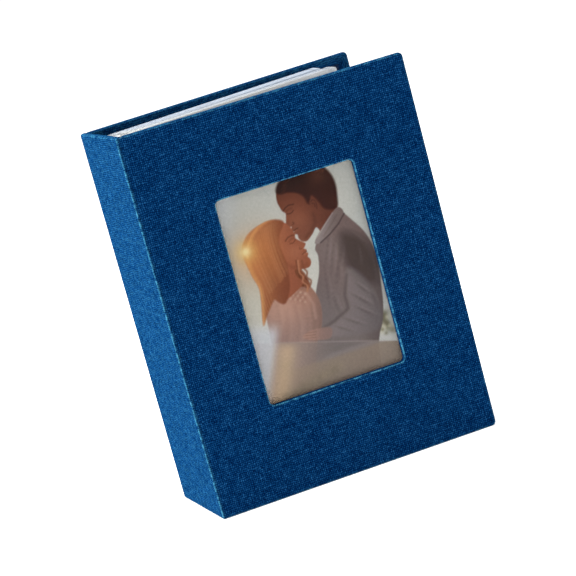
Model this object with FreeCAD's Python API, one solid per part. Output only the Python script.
import FreeCAD, Part

import math
import os

# Cloth-bound photo album with a window in its front cover, standing on its foot.
# Millimetres. X runs from the spine to the fore edge, Y from the front cover to the
# back cover, Z up. The origin is the centre of the spine's foot.
# The parts are built in case coordinates first: x = 0 is the spine's outer face,
# y = 0 is the front cover's outer face when the album is closed, z = 0 is the foot.

Vector = FreeCAD.Vector

# Case
ALBUM_H = 175.0        # foot to head
COVER_W = 133.0        # spine's outer face to the fore edge
ALBUM_T = 52.5         # front cover's outer face to the back cover's, closed
CLOTH = 0.45           # book cloth with its backing
BOARD = 2.2            # greyboard
COVER_T = BOARD + 2.0 * CLOTH
CORNER_R = 2.0         # outer corners of the covers
TURN_IN = 14.0         # cloth folded over onto the inner side
HINGE_GAP = 0.3        # free cloth at each edge of the spine
HINGE_U = COVER_T + 0.4    # where a cover's board begins, measured from its hinge line
SPLAY = 5.7            # degrees that the front cover stands open at rest

# Window and the pocket behind it
WINDOW_W = 64.5
WINDOW_H = 94.2
WINDOW_FOOT = 42.0
WINDOW_R = 2.2
FILM = 0.2             # clear glazing film
INFILL_WINDOW = 1.0    # how much wider the infill's opening is on each side
GLUE = 0.3             # glue strip that spaces the pocket
LINING = 0.35          # lining card
PRINT_W = 102.0        # a standard 4 x 6 inch print
PRINT_H = 152.0
PRINT_T = 0.22
PRINT_FOOT = 11.5
POCKET_PLAY = 0.5      # room at each side of the print and under it
THUMB_R = 10.0         # thumb cut-out in the pocket's mouth

# Linings, measured from the cover's edges
LINING_HINGE = 7.0
LINING_EDGE = 6.0
LINING_HEAD = 4.5
INFILL_GAP = 0.5       # between the infill and the turned-in cloth

# Page block
PAGE_FOOT = 2.5
PAGE_HEAD = 172.5
GAUZE = 0.25
LEAVES = 28
FRONT_LEAVES = 16      # the leaves that turn with the front cover; the rest turn with the back
FIRST_LEAF_Y = 12.8    # crease of the first leaf
LAST_LEAF_Y = 38.2     # crease of the last leaf
OUTER_CREASE_X = 5.0   # crease of the outermost leaves
CREASE_STEP = 0.4      # each crease lies this much deeper than the one outside it
CREASE_GAP = 0.35      # between a stub and its leaf
CREASE_STRIP = 4.0     # thin strip that bends, beside the crease
STRIP_T = 0.14
LEAF_T = 0.42
LEAF_R = 1.0           # outer corners of the leaves
FORE_EDGE_FRONT = 116.6    # where the leaves of the front section end
FORE_EDGE_BACK = 114.8     # the back section sits a little deeper

# Bunches that the leaves lie in at rest: first leaf, last leaf, and their tilts in
# degrees, positive towards the back cover.
BUNCHES = [
    (1, 9, -7.0, -6.2),
    (10, 16, 2.8, 4.2),
    (17, 28, 6.5, 5.0),
]

# Share of a cover's turn that the leaf nearest to it makes, and how much less each
# next leaf makes.
FRONT_SHARE = 0.5
FRONT_SHARE_STEP = 0.032
BACK_SHARE = 0.51
BACK_SHARE_STEP = 0.042

# How far the covers open from rest, in degrees, and how far the print slides up.
FRONT_OPEN = 180.0 - SPLAY
BACK_OPEN = 175.0
PRINT_TRAVEL = 140.0

INNER = COVER_T - CLOTH    # inner face of the boards
Z_AXIS = Vector(0, 0, 1)
ORIGIN = Vector(COVER_T / 2.0, ALBUM_T / 2.0, 0)
WINDOW_U = (COVER_W - WINDOW_W) / 2.0
PRINT_U = (COVER_W - PRINT_W) / 2.0
LEAF_PITCH = (LAST_LEAF_Y - FIRST_LEAF_Y) / (LEAVES - 1)


def block(x0, x1, y0, y1, z0, z1):
    """A box between two corners."""
    return Part.makeBox(x1 - x0, y1 - y0, z1 - z0, Vector(x0, y0, z0))


def rounded(x0, x1, y0, y1, z0, z1, radius, inner_too=False):
    """A plate whose corners at x1, and at x0 if asked, are rounded about Y."""
    solid = block(x0, x1, y0, y1, z0, z1)
    corners = []
    for edge in solid.Edges:
        box = edge.BoundBox
        along_y = box.YLength > (y1 - y0) * 0.9 and box.XLength < 1e-6
        if along_y and (inner_too or box.XMin > (x0 + x1) / 2.0):
            corners.append(edge)
    return solid.makeFillet(radius, corners)


def window_prism(grow, y0, y1):
    """The window's outline grown by a margin, between two depths."""
    return rounded(
        WINDOW_U - grow,
        WINDOW_U + WINDOW_W + grow,
        y0,
        y1,
        WINDOW_FOOT - grow,
        WINDOW_FOOT + WINDOW_H + grow,
        WINDOW_R + grow,
        inner_too=True,
    )


def cover_board():
    """Greyboard of a cover, one cloth thickness inside the outer faces."""
    return rounded(
        HINGE_U, COVER_W - CLOTH, CLOTH, INNER, CLOTH, ALBUM_H - CLOTH, CORNER_R - CLOTH
    )


def cover_core():
    """The space that a cover's cloth wraps: the board and its inner side."""
    return rounded(
        -1, COVER_W - CLOTH, CLOTH, INNER, CLOTH, ALBUM_H - CLOTH, CORNER_R - CLOTH
    )


def cover_cloth(core):
    """Cloth of a cover: its face, the wrapped edges and the turned-in margins."""
    outer = rounded(0, COVER_W, 0, COVER_T, 0, ALBUM_H, CORNER_R)
    margins_inside = block(
        -1, COVER_W - TURN_IN, INNER, COVER_T + 1, TURN_IN, ALBUM_H - TURN_IN
    )
    hinge_zone = block(-1, HINGE_U, CLOTH, COVER_T + 1, -1, ALBUM_H + 1)
    return outer.cut(core).cut(margins_inside).cut(hinge_zone)


def inner_sheet(y0, y1):
    """A sheet that fills the inner side of a cover between the turned-in margins."""
    return block(
        HINGE_U + INFILL_GAP,
        COVER_W - TURN_IN - INFILL_GAP,
        y0,
        y1,
        TURN_IN + INFILL_GAP,
        ALBUM_H - TURN_IN - INFILL_GAP,
    )


def lining_sheet(y0, y1):
    """The lining card, a little smaller than the cover."""
    return block(
        LINING_HINGE, COVER_W - LINING_EDGE, y0, y1, LINING_HEAD, ALBUM_H - LINING_HEAD
    )


def front_cover_parts():
    """The front cover, closed, with its window, film, pocket and print."""
    post = window_prism(CLOTH, 0, INNER)
    hole = window_prism(0, -1, COVER_T)
    film_back = INNER + FILM
    pocket_back = COVER_T + GLUE
    print_front = COVER_T + (GLUE - PRINT_T) / 2.0
    pocket = block(
        PRINT_U - POCKET_PLAY,
        PRINT_U + PRINT_W + POCKET_PLAY,
        COVER_T - 1,
        pocket_back + 1,
        PRINT_FOOT - POCKET_PLAY,
        ALBUM_H + 1,
    )
    thumb = Part.makeCylinder(
        THUMB_R,
        LINING + 2,
        Vector(COVER_W / 2.0, pocket_back - 1, ALBUM_H - LINING_HEAD),
        Vector(0, 1, 0),
    )
    window_print = block(
        PRINT_U,
        PRINT_U + PRINT_W,
        print_front,
        print_front + PRINT_T,
        PRINT_FOOT,
        PRINT_FOOT + PRINT_H,
    )
    return {
        "front_board": cover_board().cut(post),
        "front_cloth": cover_cloth(cover_core().cut(post)).cut(hole),
        "window_film": inner_sheet(INNER, film_back),
        "front_infill": inner_sheet(film_back, COVER_T).cut(
            window_prism(INFILL_WINDOW, INNER, COVER_T + 1)
        ),
        "pocket_glue_strip": lining_sheet(COVER_T, pocket_back).cut(pocket),
        "window_print": window_print,
        "front_lining": lining_sheet(pocket_back, pocket_back + LINING).cut(thumb),
    }


def back_cover_parts():
    """The back cover, built like the front cover and turned over to the back."""
    parts = {
        "back_board": cover_board(),
        "back_cloth": cover_cloth(cover_core()),
        "back_infill": inner_sheet(INNER, COVER_T),
        "back_lining": lining_sheet(COVER_T, COVER_T + LINING),
    }
    middle = Vector(0, ALBUM_T / 2.0, ALBUM_H / 2.0)
    for shape in parts.values():
        shape.rotate(middle, Vector(1, 0, 0), 180)
    return parts


def spine_parts():
    """The spine between the two cloth hinges."""
    y0 = CLOTH + HINGE_GAP
    y1 = ALBUM_T - y0
    board = block(CLOTH, INNER, y0, y1, CLOTH, ALBUM_H - CLOTH)
    wrap = block(0, COVER_T, y0, y1, 0, ALBUM_H)
    margins_inside = block(INNER, COVER_T + 1, y0 - 1, y1 + 1, TURN_IN, ALBUM_H - TURN_IN)
    infill = block(
        INNER, COVER_T, y0, y1, TURN_IN + INFILL_GAP, ALBUM_H - TURN_IN - INFILL_GAP
    )
    lining = block(
        COVER_T,
        COVER_T + GLUE,
        COVER_T + 1,
        ALBUM_T - COVER_T - 1,
        LINING_HEAD,
        ALBUM_H - LINING_HEAD,
    )
    return {
        "spine_board": board,
        "spine_cloth": wrap.cut(board).cut(margins_inside),
        "spine_infill": infill,
        "spine_lining": lining,
    }


def crease(number):
    """The crease of a leaf, counted from 1 at the front: its x and y."""
    steps_in = number - 1 if number <= FRONT_LEAVES else LEAVES - number
    x = OUTER_CREASE_X + CREASE_STEP * steps_in
    y = FIRST_LEAF_Y + LEAF_PITCH * (number - 1)
    return x, y


def rest_tilt(number):
    """How a leaf leans at rest, in degrees, positive towards the back cover."""
    for first, last, first_tilt, last_tilt in BUNCHES:
        if first <= number <= last:
            share = (number - first) / (last - first)
            return first_tilt + share * (last_tilt - first_tilt)
    raise ValueError(number)


def turn_share(number):
    """Share of its cover's turn that a leaf makes."""
    if number <= FRONT_LEAVES:
        return FRONT_SHARE - FRONT_SHARE_STEP * (number - 1)
    return BACK_SHARE - BACK_SHARE_STEP * (LEAVES - number)


def leaf(number):
    """One pocket leaf: a thin strip at its crease, then the welded sheet."""
    x, y = crease(number)
    fore_edge = FORE_EDGE_FRONT if number <= FRONT_LEAVES else FORE_EDGE_BACK
    strip = block(0, CREASE_STRIP, -STRIP_T / 2.0, STRIP_T / 2.0, PAGE_FOOT, PAGE_HEAD)
    sheet = rounded(
        CREASE_STRIP,
        fore_edge - x,
        -LEAF_T / 2.0,
        LEAF_T / 2.0,
        PAGE_FOOT,
        PAGE_HEAD,
        LEAF_R,
    )
    shape = strip.fuse(sheet).removeSplitter()
    shape.rotate(Vector(0, 0, 0), Z_AXIS, rest_tilt(number))
    shape.translate(Vector(x, y, 0))
    return shape


def binding_parts():
    """The block of glued stubs, stepped like the creases, and its gauze strip."""
    half = LEAF_PITCH / 2.0
    gauze_x = COVER_T + GLUE
    stub_x = gauze_x + GAUZE
    stubs = None
    for number in range(1, LEAVES + 1):
        x, y = crease(number)
        stub = block(stub_x, x - CREASE_GAP, y - half, y + half, PAGE_FOOT, PAGE_HEAD)
        stubs = stub if stubs is None else stubs.fuse(stub)
    y0 = FIRST_LEAF_Y - half
    y1 = LAST_LEAF_Y + half
    wrap = block(
        gauze_x, OUTER_CREASE_X - 2 * CREASE_GAP, y0 - GAUZE, y1 + GAUZE, 8, ALBUM_H - 8
    )
    inside = block(stub_x, COVER_W, y0, y1, 0, ALBUM_H)
    return {
        "binding_stubs": stubs.removeSplitter(),
        "binding_gauze": wrap.cut(inside),
    }


def album_parts():
    """Every part at rest, in case coordinates."""
    parts = {}
    for name, shape in front_cover_parts().items():
        shape.rotate(Vector(0, 0, 0), Z_AXIS, -SPLAY)
        parts[name] = shape
    parts.update(back_cover_parts())
    parts.update(spine_parts())
    parts.update(binding_parts())
    for number in range(1, LEAVES + 1):
        parts[f"leaf_{number:02d}"] = leaf(number)
    return parts


os.makedirs("parts", exist_ok=True)
for part_name, part_shape in album_parts().items():
    part_shape.translate(Vector(-ORIGIN.x, -ORIGIN.y, 0))
    if not part_shape.isValid() or len(part_shape.Solids) != 1:
        raise RuntimeError(f"{part_name} is not one sound solid")
    part_shape.exportStep(f"parts/{part_name}.step")
